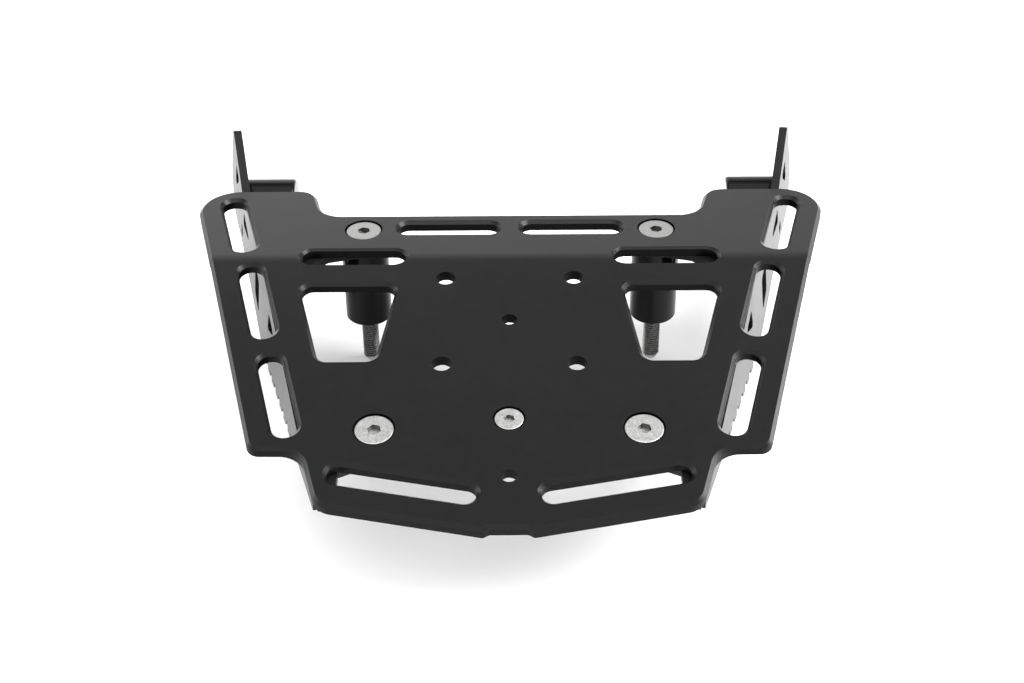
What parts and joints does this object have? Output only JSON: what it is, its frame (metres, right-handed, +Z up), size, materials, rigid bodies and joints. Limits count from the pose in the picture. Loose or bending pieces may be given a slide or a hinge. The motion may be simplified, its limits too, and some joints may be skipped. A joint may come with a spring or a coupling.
{
  "type": "motorcycle luggage rack",
  "caption": "Bent slotted deck plate on two toothed side brackets, for luggage behind a motorcycle's seat.",
  "frame": {"origin": "middle of the four case holes, on the deck's top face", "axes": "+X to the right across the deck, +Y to the front of the motorcycle, +Z up out of the level part of the deck"},
  "size_m": [0.2966, 0.2698, 0.0755],
  "materials": {
    "deck_black": "matte black coated sheet",
    "bracket_black": "satin black coated sheet",
    "spacer_black": "gloss black turned bar",
    "bolt_steel": "zinc plated",
    "nut_steel": "zinc plated"
  },
  "bodies": {
    "root": {"top_plate": "deck_black", "side_bracket_left": "bracket_black", "side_bracket_right": "bracket_black", "side_bush_left": "spacer_black", "side_bush_right": "spacer_black", "front_bolt_left": "bolt_steel", "front_bolt_right": "bolt_steel", "front_spacer_left": "spacer_black", "front_spacer_right": "spacer_black", "rear_bolt_left": "bolt_steel", "rear_bolt_right": "bolt_steel", "rear_washer_left": "nut_steel", "rear_washer_right": "nut_steel", "rear_nut_left": "nut_steel", "rear_nut_right": "nut_steel", "center_bolt": "bolt_steel", "center_washer": "nut_steel", "center_nut": "nut_steel"}
  },
  "joints": []
}
